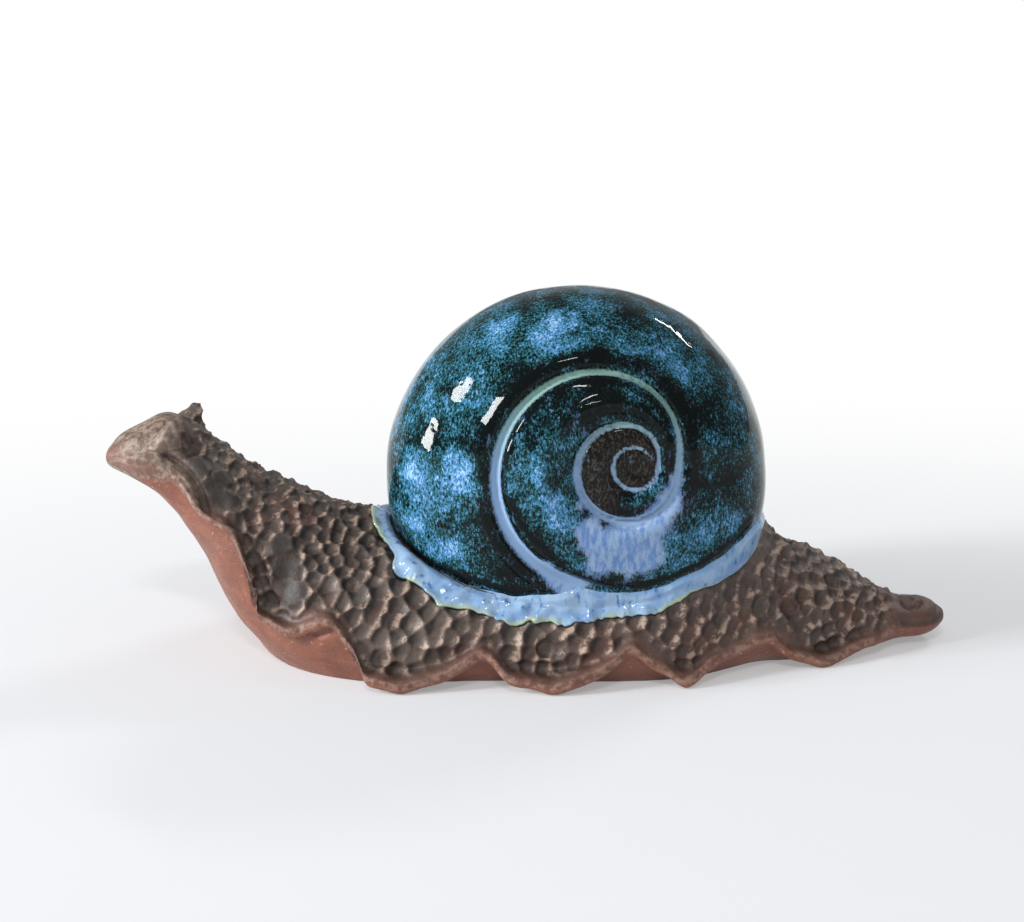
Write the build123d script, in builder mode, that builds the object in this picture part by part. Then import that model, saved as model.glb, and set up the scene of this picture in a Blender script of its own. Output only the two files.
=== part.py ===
from build123d import *
import os
from math import cos, hypot, pi, radians, sin, sqrt

# Hand-built ceramic snail: an unglazed brown clay body with a frilled edge, and a glazed round shell.
# X runs along the snail, from the head (-X) to the tail (+X). -Y is the side with the photographed spiral.
# Z is up and the table is at zero. All lengths are in millimetres.

# Body as a whole
body_length = 209.0
head_height = 60.0
foot_width = 64.0
back_crown_share = 1.25
sole_thickness = 6.0
clay_wall = 6.0
seam_rise = 1.0
overrun = 40.0

# Cross sections of the body from the snout to the tail, as shares: place along body_length, top of
# head_height, bottom of head_height, half width of foot_width, and height of the widest place of head_height.
# Where the bottom is below the table, the form is cut flat.
body_section_shares = [
    (-0.500, 0.833, 0.783, 0.040, 0.808),
    (-0.493, 0.867, 0.760, 0.078, 0.813),
    (-0.478, 0.913, 0.737, 0.112, 0.822),
    (-0.455, 0.953, 0.693, 0.138, 0.817),
    (-0.431, 0.977, 0.620, 0.150, 0.792),
    (-0.409, 0.967, 0.508, 0.164, 0.742),
    (-0.385, 0.917, 0.353, 0.203, 0.667),
    (-0.356, 0.823, 0.137, 0.258, 0.533),
    (-0.323, 0.750, -0.012, 0.320, 0.383),
    (-0.280, 0.672, -0.150, 0.395, 0.250),
    (-0.227, 0.597, -0.220, 0.455, 0.167),
    (-0.170, 0.550, -0.220, 0.490, 0.125),
    (-0.072, 0.545, -0.150, 0.492, 0.117),
    (0.048, 0.550, -0.150, 0.500, 0.117),
    (0.120, 0.553, -0.150, 0.492, 0.117),
    (0.182, 0.540, -0.140, 0.460, 0.117),
    (0.225, 0.522, -0.090, 0.406, 0.117),
    (0.268, 0.490, -0.050, 0.348, 0.117),
    (0.330, 0.405, -0.080, 0.273, 0.100),
    (0.378, 0.320, -0.058, 0.219, 0.097),
    (0.421, 0.220, -0.010, 0.163, 0.097),
    (0.445, 0.177, 0.012, 0.133, 0.097),
    (0.469, 0.177, 0.017, 0.116, 0.097),
    (0.490, 0.153, 0.042, 0.078, 0.098),
    (0.500, 0.125, 0.073, 0.031, 0.098),
]
widest_share = max(section[3] for section in body_section_shares)
section_angle_step = 30
cavity_first_section = 7
cavity_last_section = 18
vent_radius = 2.0

# Main presses of a round-ended tool all over the back, in staggered rows
press_radius = 3.8
press_depth = 1.2
press_pitch = 12.0
press_half_width = sqrt(press_depth * (2 * press_radius - press_depth))
press_first_share = -0.375
press_last_share = 0.415
press_stagger_shares = (0.3, 0.7)

# Head and tail joints
head_joint_x_share = -0.4087
head_joint_z_share = 0.783
head_joint_tilt = 30.0
tail_joint_x_share = 0.435

# Horns: tip places as shares of body_length, foot_width and head_height
horn_root_length = 4.4
horn_root_width = 3.2
horn_tip_radius = 1.1
horn_sink = 7.0
horn_lean = 2.6
left_horn_shares = (-0.414, -0.110, 0.997)
right_horn_shares = (-0.396, 0.113, 1.003)

# Frill: a ruffled strip along each side of the foot
frill_reach = 5.4
frill_lip = 2.4
frill_bury = 6.0
frill_root_up = 5.4
frill_root_down = 3.0
frill_ribs_per_knot = 2
# Knots of the left frill from the neck to the tail: place along body_length, how far the lip stands out of
# the side as a share of frill_reach, and height of the lip's middle as a share of head_height
left_frill_shares = [
    (-0.416, 0.10, 0.782),
    (-0.386, 0.50, 0.660),
    (-0.345, 0.16, 0.570),
    (-0.323, 0.50, 0.407),
    (-0.315, 0.64, 0.257),
    (-0.281, 0.50, 0.203),
    (-0.228, 0.20, 0.257),
    (-0.205, 0.50, 0.170),
    (-0.188, 0.86, 0.055),
    (-0.150, 1.00, 0.026),
    (-0.106, 0.76, 0.060),
    (-0.053, 0.30, 0.145),
    (-0.022, 0.80, 0.058),
    (0.027, 1.00, 0.026),
    (0.074, 0.72, 0.076),
    (0.117, 0.24, 0.163),
    (0.146, 0.40, 0.088),
    (0.178, 0.66, 0.026),
    (0.218, 0.40, 0.097),
    (0.276, 0.20, 0.145),
    (0.309, 0.44, 0.055),
    (0.342, 0.80, 0.022),
    (0.398, 0.52, 0.066),
    (0.434, 0.10, 0.085),
]
# The unseen right side is ruffled by hand too, with its lobes at other places
right_frill_shares = [
    (-0.416, 0.10, 0.782),
    (-0.392, 0.45, 0.680),
    (-0.352, 0.16, 0.575),
    (-0.330, 0.50, 0.440),
    (-0.308, 0.64, 0.270),
    (-0.268, 0.45, 0.215),
    (-0.222, 0.20, 0.235),
    (-0.188, 0.70, 0.090),
    (-0.156, 0.90, 0.026),
    (-0.112, 0.60, 0.095),
    (-0.076, 0.26, 0.150),
    (-0.040, 0.60, 0.090),
    (0.000, 0.92, 0.026),
    (0.050, 0.60, 0.095),
    (0.090, 0.26, 0.155),
    (0.122, 0.55, 0.090),
    (0.160, 0.80, 0.028),
    (0.204, 0.50, 0.090),
    (0.240, 0.22, 0.145),
    (0.272, 0.50, 0.072),
    (0.304, 0.60, 0.042),
    (0.350, 0.36, 0.088),
    (0.392, 0.20, 0.105),
    (0.434, 0.06, 0.108),
]

# Shell: two bowls luted together at the middle, with an oval outline. Its lowest part is cut away by the body
shell_length = 93.5
shell_height = 95.0
shell_width = 60.0
shell_x = 11.2
shell_bottom = -4.0
shell_z = shell_bottom + shell_height / 2
shell_wall = 5.0
shell_roundness = 2.4
shell_face_shift_share = 0.053
shell_depth_shares = [0.0, 0.3, 0.55, 0.74, 0.87, 0.95, 0.988]
face_search_steps = 30

# Spiral on each face of the shell, which tightens by one ratio at each turn. Its centre lies behind and above
# the shell's own centre
spiral_back = 14.6
spiral_rise = 12.1
spiral_x = shell_x + spiral_back
spiral_z = shell_z + spiral_rise
spiral_radius = 23.5
spiral_ratio = 2.26
spiral_eccentricity = 0.42
spiral_lean = 186.0
spiral_start = 242.0
spiral_turns = 2.3
spiral_steps_per_turn = 16
whorl_fill_share = 0.93
whorl_relief_share = 0.30

# Collar: the coil of clay that closes the joint between shell and back
collar_reach = 4.2
collar_height = 1.3


def between(table, place, column):
    """A value of a table of rows in rising order, at a place between two rows, on a straight line."""
    for low, high in zip(table, table[1:]):
        if place <= high[0]:
            part = (place - low[0]) / (high[0] - low[0])
            return low[column] + (high[column] - low[column]) * part
    return table[-1][column]


def oval_point(top, bottom, half_width, widest, angle):
    """The point of one cross section at an angle in degrees, as (sideways, up)."""
    sideways, up = cos(radians(angle)), sin(radians(angle))
    if up < 0:
        return half_width * sideways, widest + (widest - bottom) * up
    flank = half_width * abs(sideways) ** back_crown_share
    return flank if sideways >= 0 else -flank, widest + (top - widest) * up


def back_point(place, angle):
    """A point of the body's surface, at a place along it and an angle over it in degrees."""
    top, bottom, half_width, widest = (between(body_section_shares, place, column) for column in range(1, 5))
    y, z = oval_point(
        top * head_height, bottom * head_height, half_width * foot_width, widest * head_height, angle
    )
    return Vector(place * body_length, y, z)


def body_form(first, last, grow):
    """The body's outer form between two cross sections, grown or shrunk all round by a length."""
    with BuildPart() as form:
        for place, top, bottom, half_width, widest in body_section_shares[first : last + 1]:
            across = Plane(origin=(place * body_length, 0, 0), x_dir=(0, 1, 0), z_dir=(1, 0, 0))
            outline = [
                oval_point(
                    top * head_height + grow,
                    bottom * head_height - grow,
                    half_width * foot_width + grow,
                    widest * head_height,
                    angle,
                )
                for angle in range(0, 360, section_angle_step)
            ]
            with BuildSketch(across):
                with BuildLine():
                    Spline(*outline, periodic=True)
                make_face()
        loft()
    return form.part


def below_seam():
    """Everything below the line where the textured back meets the smooth foot."""
    line = [(s[0] * body_length, s[4] * head_height + seam_rise) for s in body_section_shares]
    front, back = line[0][0] - overrun, line[-1][0] + overrun
    with BuildPart() as lower:
        with BuildSketch(Plane.XZ):
            with BuildLine():
                Line((front, line[0][1]), line[0])
                Spline(*line)
                Line(line[-1], (back, line[-1][1]))
                Polyline((back, line[-1][1]), (back, -overrun), (front, -overrun), (front, line[0][1]))
            make_face()
        extrude(amount=foot_width, both=True)
    return lower.part


def shell_share(depth):
    """How large the shell's outline is at a depth, as a share, from the middle (0) to the face (1)."""
    return (1 - abs(depth) ** shell_roundness) ** (1 / shell_roundness)


def clear_of_shell(point, gap):
    """Whether a point is farther than a gap from the shell's outer form."""
    depth = abs(point.Y) / (shell_width / 2 + gap)
    if depth >= 1:
        return True
    shift = shell_face_shift_share * shell_length * depth**2
    along = (point.X - shell_x - shift) / (shell_length / 2 + gap)
    return hypot(along, (point.Z - shell_z) / (shell_height / 2 + gap)) > shell_share(depth)


def clear_of_frill(point, place):
    """Whether a press at a point lies wholly above the frill of its own side."""
    knots = right_frill_shares if point.Y > 0 else left_frill_shares
    root_top = between(knots, place, 2) * head_height + frill_root_up
    return point.Z > root_top + press_half_width


def press_places():
    """The round tool at its main presses, clear of the shell with its collar and of the frills."""
    places = []
    rows = round((press_last_share - press_first_share) * body_length / press_pitch)
    row_share = (press_last_share - press_first_share) / rows
    for row in range(rows + 1):
        place = press_first_share + row * row_share
        crown, flank = back_point(place, 90), back_point(place, 0)
        count = round(pi / 2 * (flank.Y + crown.Z - flank.Z) / press_pitch)
        for number in range(count):
            turn = 180 / count
            angle = (number + press_stagger_shares[row % 2]) * turn
            point = back_point(place, angle)
            along = back_point(place + row_share / 2, angle) - back_point(place - row_share / 2, angle)
            around = back_point(place, angle + turn / 2) - back_point(place, angle - turn / 2)
            outwards = around.cross(along).normalized()
            if clear_of_shell(point, collar_reach + press_half_width) and clear_of_frill(point, place):
                centre = point + outwards * (press_radius - press_depth)
                places.append(Plane(origin=centre, x_dir=outwards, z_dir=along))
    return places


head_joint = Plane(
    origin=(head_joint_x_share * body_length, 0, head_joint_z_share * head_height),
    z_dir=(-cos(radians(head_joint_tilt)), 0, sin(radians(head_joint_tilt))),
)
tail_joint = Plane(origin=(tail_joint_x_share * body_length, 0, 0), z_dir=(1, 0, 0))

last_section = len(body_section_shares) - 1
with BuildPart() as whole_body:
    add(body_form(0, last_section, 0))
    split(bisect_by=Plane.XY, keep=Keep.TOP)

with BuildPart() as body_cavity:
    add(body_form(cavity_first_section, cavity_last_section, -clay_wall))
    split(bisect_by=Plane.XY.offset(sole_thickness), keep=Keep.TOP)

with BuildPart() as trunk:
    add(whole_body.part)
    split(bisect_by=head_joint, keep=Keep.BOTTOM)
    split(bisect_by=tail_joint, keep=Keep.BOTTOM)
    add(body_cavity.part, mode=Mode.SUBTRACT)

lower_half = below_seam()

# Smooth foot: the flat sole with the side walls and the rising chest
with BuildPart() as foot_slab:
    add(trunk.part)
    add(lower_half, mode=Mode.INTERSECT)
    with Locations((shell_x, 0, 0)):
        Hole(radius=vent_radius, depth=2 * sole_thickness)

# Textured back: the slab draped over the foot, from the neck to the tail, with the main presses of the tool
with BuildPart() as mantle_slab:
    add(trunk.part)
    add(lower_half, mode=Mode.SUBTRACT)
    with Locations((shell_x, 0, head_height)):
        Hole(radius=vent_radius, depth=head_height)
    with Locations(*press_places()):
        Sphere(press_radius, mode=Mode.SUBTRACT)

# Head and tail tip, modelled solid and luted to the trunk
with BuildPart() as head:
    add(whole_body.part)
    split(bisect_by=head_joint, keep=Keep.TOP)

with BuildPart() as tail_tip:
    add(whole_body.part)
    split(bisect_by=tail_joint, keep=Keep.TOP)


def horn(tip_shares):
    """One pinched horn, whose root is cut to the head that carries it."""
    x, y, z = tip_shares[0] * body_length, tip_shares[1] * foot_width, tip_shares[2] * head_height
    with BuildPart() as one_horn:
        for rise, lean, long, wide in (
            (-horn_sink, horn_lean, horn_root_length, horn_root_width),
            (0, 0, horn_tip_radius, horn_tip_radius),
        ):
            with BuildSketch(Plane(origin=(x - lean, y, z + rise))):
                Ellipse(long, wide)
        loft()
        add(whole_body.part, mode=Mode.SUBTRACT)
    return one_horn.part


def frill(side, knots):
    """The ruffled strip along one side (-1 left, 1 right), pressed flat where it meets the table."""
    ribs = [
        tuple(low + (high - low) * (1 - cos(pi * step / frill_ribs_per_knot)) / 2 for low, high in zip(*pair))
        for pair in zip(knots, knots[1:])
        for step in range(frill_ribs_per_knot)
    ] + [knots[-1]]
    with BuildPart() as strip:
        for place, reach_share, height_share in ribs:
            half_width_share = between(body_section_shares, place, 3)
            edge = half_width_share * foot_width
            girth = half_width_share / widest_share
            reach = edge + reach_share * frill_reach
            height = height_share * head_height
            across = Plane(origin=(place * body_length, 0, 0), x_dir=(0, side, 0), z_dir=(side, 0, 0))
            with BuildSketch(across):
                with BuildLine():
                    Polyline(
                        (edge - frill_bury * girth, height + frill_root_up * girth),
                        (reach, height + frill_lip / 2),
                        (reach, height - frill_lip / 2),
                        (edge - frill_bury * girth, height - frill_root_down * girth),
                        close=True,
                    )
                make_face()
        loft()
        split(bisect_by=Plane.XY, keep=Keep.TOP)
        add(whole_body.part, mode=Mode.SUBTRACT)
    return strip.part


def shell_half(grow):
    """The left half of the shell's outer form, grown or shrunk by a length."""
    half_length = shell_length / 2 + grow
    half_height = shell_height / 2 + grow
    half_width = shell_width / 2 + grow
    with BuildPart() as half:
        for depth in shell_depth_shares:
            shift = shell_face_shift_share * shell_length * depth**2
            plane = Plane.XZ.offset(depth * half_width)
            with BuildSketch(plane):
                with Locations((shell_x + shift, shell_z)):
                    Ellipse(half_length * shell_share(depth), half_height * shell_share(depth))
        loft()
    return half.part


def face_depth(x, z):
    """How far the shell's outer face stands from the middle at a place, worked out by halving."""
    low, high = 0.0, 1.0
    for _ in range(face_search_steps):
        depth = (low + high) / 2
        shift = shell_face_shift_share * shell_length * depth**2
        across = hypot((x - shell_x - shift) / (shell_length / 2), (z - shell_z) / (shell_height / 2))
        if across < shell_share(depth):
            low = depth
        else:
            high = depth
    return low * shell_width / 2


def groove_radius(angle):
    """Distance of the spiral groove from its centre, at an angle in degrees that keeps falling inwards."""
    turns = (180 - angle) / 360
    swing = 1 + spiral_eccentricity * cos(radians(angle - spiral_lean))
    return spiral_radius * spiral_ratio**-turns * swing


def whorl_coil():
    """The tapered coil of clay wound on the left face, from the shell's lower edge to its own centre."""
    count = round(spiral_turns * spiral_steps_per_turn)
    centres, widths = [], []
    for step in range(count + 1):
        angle = spiral_start - 360 * step / spiral_steps_per_turn
        outer, inner = groove_radius(angle), groove_radius(angle - 360)
        radius = (outer + inner) / 2
        x = spiral_x + radius * cos(radians(angle))
        z = spiral_z + radius * sin(radians(angle))
        centres.append(Vector(x, -face_depth(x, z), z))
        widths.append((outer - inner) / 2 * whorl_fill_share)
    middle = Vector(spiral_x, -face_depth(spiral_x, spiral_z), spiral_z)
    with BuildPart() as coil:
        for step, (centre, width) in enumerate(zip(centres, widths)):
            before, after = centres[max(step - 1, 0)], centres[min(step + 1, count)]
            along = (after - before).normalized()
            outwards = (centre - middle).normalized()
            with BuildSketch(Plane(origin=centre, x_dir=outwards - along * outwards.dot(along), z_dir=along)):
                Ellipse(width, width * whorl_relief_share)
        loft()
    return coil.part


left_form = shell_half(0)
left_coil = whorl_coil()

with BuildPart() as left_bowl:
    add(left_form)
    add(shell_half(-shell_wall), mode=Mode.SUBTRACT)
    split(bisect_by=Plane.XY, keep=Keep.TOP)
    add(left_coil, mode=Mode.SUBTRACT)

with BuildPart() as left_collar:
    add(shell_half(collar_reach))
    add(body_form(0, last_section, collar_height), mode=Mode.INTERSECT)
    split(bisect_by=Plane.XY, keep=Keep.TOP)
    add(left_form, mode=Mode.SUBTRACT)
    add(left_coil, mode=Mode.SUBTRACT)

# Shell halves, with the spiral coils wound on their faces: the body's form is cut from all of them
with BuildPart() as shell_left_half:
    add(left_bowl.part)
    add(whole_body.part, mode=Mode.SUBTRACT)

with BuildPart() as shell_right_half:
    add(left_bowl.part)
    mirror(about=Plane.XZ, mode=Mode.REPLACE)
    add(whole_body.part, mode=Mode.SUBTRACT)

with BuildPart() as whorl_coil_left:
    add(left_coil)
    add(whole_body.part, mode=Mode.SUBTRACT)

with BuildPart() as whorl_coil_right:
    add(left_coil)
    mirror(about=Plane.XZ, mode=Mode.REPLACE)
    add(whole_body.part, mode=Mode.SUBTRACT)

# Collar: it fills the corner between the shell and the back all the way round
with BuildPart() as collar_coil:
    add(left_collar.part)
    mirror(about=Plane.XZ)
    add(whole_body.part, mode=Mode.SUBTRACT)

with BuildPart() as horn_left:
    add(horn(left_horn_shares))

with BuildPart() as horn_right:
    add(horn(right_horn_shares))

with BuildPart() as frill_left:
    add(frill(-1, left_frill_shares))

with BuildPart() as frill_right:
    add(frill(1, right_frill_shares))

pieces = {
    "foot_slab": foot_slab,
    "mantle_slab": mantle_slab,
    "head": head,
    "tail_tip": tail_tip,
    "horn_left": horn_left,
    "horn_right": horn_right,
    "frill_left": frill_left,
    "frill_right": frill_right,
    "shell_left_half": shell_left_half,
    "shell_right_half": shell_right_half,
    "whorl_coil_left": whorl_coil_left,
    "whorl_coil_right": whorl_coil_right,
    "collar_coil": collar_coil,
}
os.makedirs("parts", exist_ok=True)
for name, piece in pieces.items():
    piece.part.label = name
    export_step(piece.part, f"parts/{name}.step")
    print(name, len(piece.part.solids()), round(piece.part.volume))
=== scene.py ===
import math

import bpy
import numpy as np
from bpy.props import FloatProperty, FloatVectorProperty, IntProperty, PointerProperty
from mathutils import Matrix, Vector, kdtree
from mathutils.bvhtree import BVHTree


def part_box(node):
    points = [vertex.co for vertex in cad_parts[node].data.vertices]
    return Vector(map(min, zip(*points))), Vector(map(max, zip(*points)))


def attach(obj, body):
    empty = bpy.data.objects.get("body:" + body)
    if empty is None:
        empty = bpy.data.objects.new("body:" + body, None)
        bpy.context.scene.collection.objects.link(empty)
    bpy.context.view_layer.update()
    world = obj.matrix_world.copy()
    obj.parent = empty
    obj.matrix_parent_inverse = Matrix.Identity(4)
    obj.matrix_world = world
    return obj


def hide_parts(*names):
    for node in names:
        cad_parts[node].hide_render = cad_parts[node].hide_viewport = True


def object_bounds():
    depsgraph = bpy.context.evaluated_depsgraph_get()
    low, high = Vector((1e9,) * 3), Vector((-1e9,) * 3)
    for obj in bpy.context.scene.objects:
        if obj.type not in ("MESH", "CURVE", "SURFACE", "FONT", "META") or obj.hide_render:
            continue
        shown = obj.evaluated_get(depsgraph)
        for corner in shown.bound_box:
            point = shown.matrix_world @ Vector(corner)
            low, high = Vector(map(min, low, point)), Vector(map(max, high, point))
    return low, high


bl_info = {
    "name": "Ceramic snail",
    "version": (1, 0, 0),
    "blender": (4, 5, 0),
    "location": "3D View > Sidebar > Snail",
    "description": "Builds the finish of a hand-built ceramic snail around its packed pieces",
    "category": "Add Mesh",
}

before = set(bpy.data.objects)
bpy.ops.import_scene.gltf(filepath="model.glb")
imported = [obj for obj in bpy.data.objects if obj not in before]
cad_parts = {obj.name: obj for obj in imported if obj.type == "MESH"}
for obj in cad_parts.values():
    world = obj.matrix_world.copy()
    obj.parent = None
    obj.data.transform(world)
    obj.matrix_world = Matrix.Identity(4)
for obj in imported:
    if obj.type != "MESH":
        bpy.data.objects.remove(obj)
cad_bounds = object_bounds()
cad_low, cad_high = np.array(cad_bounds[0]), np.array(cad_bounds[1])

MM = 0.001

# Camera: the place of the snail's middle on the table in the image, and how large a millimetre is there
image_width, image_height = 1024, 922
middle_px = (531, 638)
px_per_mm = 4.0
camera_height_angle = math.radians(20)
camera_distance = 0.52
aim_height = 0.03
camera_sensor = 36.0

# Shell: its outline from the frame, and the rest of its form
shell_low, shell_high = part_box("shell_left_half")
shell_half_length = (shell_high.x - shell_low.x) / 2
shell_half_height = 47.5 * MM
shell_half_width = 30.0 * MM
shell_x = (shell_high.x + shell_low.x) / 2
shell_z = shell_high.z - shell_half_height
shell_roundness = 2.4
shell_face_shift = 4.96 * MM

# Spiral on each face of the shell
spiral_x = shell_x + 14.6 * MM
spiral_z = shell_z + 12.1 * MM
spiral_radius = 23.5 * MM
spiral_ratio = 2.26
spiral_eccentricity = 0.44
spiral_lean = 186.0
spiral_start = 242.0
spiral_end = -700.0
# Half width of the groove, in millimetres, at angles along the spiral
groove_width_angles = (-700, -540, -360, -270, -225, -180, -45, 0, 45, 90, 135, 180, 200, 242)
groove_width_mm = (0.40, 0.50, 0.60, 0.62, 0.80, 1.05, 1.30, 1.10, 0.85, 0.80, 1.00, 1.45, 1.70, 2.10)

clay_nodes = (
    "foot_slab", "mantle_slab", "head", "tail_tip",
    "horn_left", "horn_right", "frill_left", "frill_right",
)
shell_nodes = ("shell_left_half", "shell_right_half", "whorl_coil_left", "whorl_coil_right")

# Seam under the ruffles, where the smooth foot and the pressed back part
foot_front_x = -87.0 * MM
foot_back_x = 90.5 * MM
seam_drop = 1.5 * MM
seam_angle = math.radians(50)
seam_stations = 160

# Plugs for the two vents, from and to a height, so that the hollow inside comes apart from the skin
vent_plugs = ((2 * MM, 9 * MM), (24 * MM, 35 * MM))
plug_radius = 3 * MM

# Unevenness of the hand-made surfaces: size and height of the waves in millimetres, and a seed
clay_waves = ((16, 0.26, 5), (7, 0.09, 6))
shell_waves = ((34, 0.35, 3), (15, 0.12, 4))

# Clay that stands higher than the solids: the brow before the far horn, and the back behind the shell
brow_offset = (-5 * MM, -1 * MM, -1 * MM)
brow_height = 2.0 * MM
brow_width = 4.5 * MM
behind_shell_height = 4.0 * MM
behind_shell_from = (24 * MM, 38 * MM)
behind_shell_to = (64 * MM, 54 * MM)

# Ruffle's edge: its own width, and the redder band above it
lip_width = 1.8 * MM
red_band_width = 4.5 * MM

# Presses of the tool: the most that a ridge stands above the presses' middles, and how deep those lie
ridge_top = 1.35 * MM
press_sink = 0.75 * MM
press_seed = 31
# Where the back is pressed above the ruffle's edge, and where the presses are a little larger: low on the
# sides, from the neck to the tail. Each is eased in from its first place to its second
pressed_above_lip = (2.0 * MM, 5.2 * MM)
larger_below = (28 * MM, 14 * MM)
larger_from = (-80 * MM, -62 * MM)
larger_to = (85 * MM, 62 * MM)

# Pooled glaze: how finely its band is divided, from where and to where a profile runs along the back, how far
# it rises up the shell, and the drips along the lower edge (number, shift and size)
collar_around = 900
collar_across = 48
profile_spacing = 0.1 * MM
profile_reach = (18 * MM, 64 * MM)
profile_rise = 12 * MM
drip_waves = ((41, 0.4, 1), (67, 2.1, 0.7), (113, 4.0, 0.5))
# How far its two edges lie from the crease right behind the shell, which the photograph doesn't show
collar_edge_behind = 1.5 * MM
collar_top_behind = -2.5 * MM

# The shell's hidden bottom ends here, inside the clay
shell_cut_height = 14 * MM

lamp_distance = 1.6

# Floor: its size, and the oval round the snail and its shadow outside which it is white. The oval is a shift
# and a stretch of the floor's places, and the distances between which the white comes in
floor_size = 60.0
oval_shift = (-0.012, 0.09, 0)
oval_stretch = (0.6, 1, 1)
oval_reach = (0.11, 0.32)

# Colours of the clay beside those that can be set
speck_colour = (0.50, 0.33, 0.26)
lip_dark_colour = (0.19, 0.076, 0.050)
lip_pale_colour = (0.42, 0.25, 0.18)
pale_press_colour = (0.13, 0.096, 0.078)
dull_press_colour = (0.070, 0.048, 0.038)
light_clay_colour = (0.24, 0.185, 0.15)
face_dark_colour = (0.15, 0.095, 0.070)
face_pale_colour = (0.36, 0.275, 0.22)
snout_colour = (0.215, 0.098, 0.07)
raised_colour = (0.36, 0.23, 0.17)
pressed_colour = (0.050, 0.026, 0.020)

# Colours of the shell's glaze beside those that can be set
dark_fleck_colour = (0.005, 0.022, 0.027)
pale_fleck_colour = (0.36, 0.58, 0.84)
disk_dark_colour = (0.008, 0.008, 0.007)
disk_brown_colour = (0.050, 0.042, 0.036)
pool_streak_colour = (0.15, 0.28, 0.58)
pit_colour = (0.03, 0.05, 0.09)
groove_blue_colour = (0.29, 0.44, 0.66)
groove_green_colour = (0.27, 0.44, 0.40)

# Colours of the pooled glaze beside those that can be set
milk_colour = (0.33, 0.49, 0.70)
bluer_milk_colour = (0.22, 0.38, 0.63)
milk_streak_colour = (0.07, 0.20, 0.50)
# Dark line at the glaze's lower edge, partly painted shade
outline_and_shade_colour = (0.010, 0.016, 0.012)

# Lower and upper edge of the pooled glaze in the photograph, from the neck to the tail
collar_edge_px = [
    (373, 519), (385, 541), (396, 560), (400, 576), (414, 581), (425, 590), (440, 606), (456, 608),
    (472, 612), (492, 616), (512, 628), (530, 622), (552, 623), (566, 627), (600, 621), (625, 617),
    (640, 616), (658, 613), (681, 602), (691, 590), (697, 575), (706, 570), (722, 575), (729, 560),
    (742, 545), (752, 529), (762, 519),
]
collar_top_px = [
    (375, 504), (387, 521), (399, 540), (422, 560), (449, 576), (480, 589), (517, 596), (546, 594),
    (579, 586), (606, 591), (632, 592), (666, 585), (697, 570), (723, 555), (745, 536), (757, 521),
]
# Thin dark lines of the shell: above the pooled glaze, and along the outer lip of the coil
dark_line_px = [
    [
        (373, 494), (381, 508), (390, 522), (402, 538), (424, 556),
        (451, 571), (482, 583), (517, 591), (540, 588),
    ],
    [
        (512, 500), (526, 525), (546, 549), (573, 569), (613, 585),
        (646, 585), (679, 573), (719, 550), (752, 519),
    ],
]
# Thick places of the shell's glaze in the photograph, or thin ones where the strength is below zero, and a
# painted reflection of the window; then its pale pool: place, radius and strength
blue_clouds_and_reflections_px = [
    (553, 333, 16, 1.0), (535, 338, 12, 0.7), (620, 343, 18, 0.6), (671, 362, 14, 0.5), (684, 378, 10, 0.6),
    (422, 396, 14, 0.5), (456, 464, 20, 1.0), (470, 490, 16, 0.9), (417, 521, 16, 1.0), (449, 548, 16, 0.9),
    (440, 505, 16, 0.7), (488, 395, 20, 0.4), (500, 340, 14, 0.4), (408, 470, 14, 0.7), (551, 495, 13, 0.8),
    (560, 520, 14, 0.8), (527, 460, 9, 0.4), (540, 470, 12, 0.6), (702, 534, 16, 0.6), (695, 437, 13, 0.4),
    (590, 560, 14, 0.8), (505, 575, 8, -0.7), (520, 560, 14, -0.7), (480, 560, 12, -0.5),
    (440, 500, 8, -0.3), (592, 385, 16, -0.6), (560, 395, 10, -0.4), (735, 470, 16, -0.4),
    (485, 437, 10, -0.5), (650, 545, 24, 0.8), (585, 336, 16, 0.6), (645, 352, 12, 0.5),
    (590, 355, 14, -0.6), (625, 310, 18, -0.4), (540, 318, 16, -0.4), (710, 400, 12, -0.3),
    (716, 440, 10, 0.4), (700, 480, 8, -0.7), (745, 430, 12, -0.6), (520, 385, 12, -0.3),
    # The first three marks on the next line are a painted reflection of the window, low on the dome's left
    (415, 455, 9, 0.7), (417, 476, 10, 0.8), (414, 498, 9, 0.7), (600, 475, 8, 0.5), (575, 480, 10, 0.7),
    (640, 430, 12, -0.5), (432, 372, 10, 0.3), (690, 565, 14, 0.6),
]
pool_px = [
    (600, 545, 14, 0.9), (622, 540, 18, 1.0), (645, 532, 17, 1.0), (660, 515, 13, 1.0), (670, 498, 10, 1.0),
    (676, 480, 7, 0.9), (630, 560, 15, 1.0), (652, 556, 14, 0.9), (592, 522, 9, 0.7), (580, 505, 6, 0.6),
    (585, 532, 9, 0.9), (600, 562, 12, 0.9), (545, 566, 7, 1.0), (553, 577, 9, 1.1), (564, 587, 9, 1.1),
    (578, 591, 7, 0.9),
]

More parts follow.
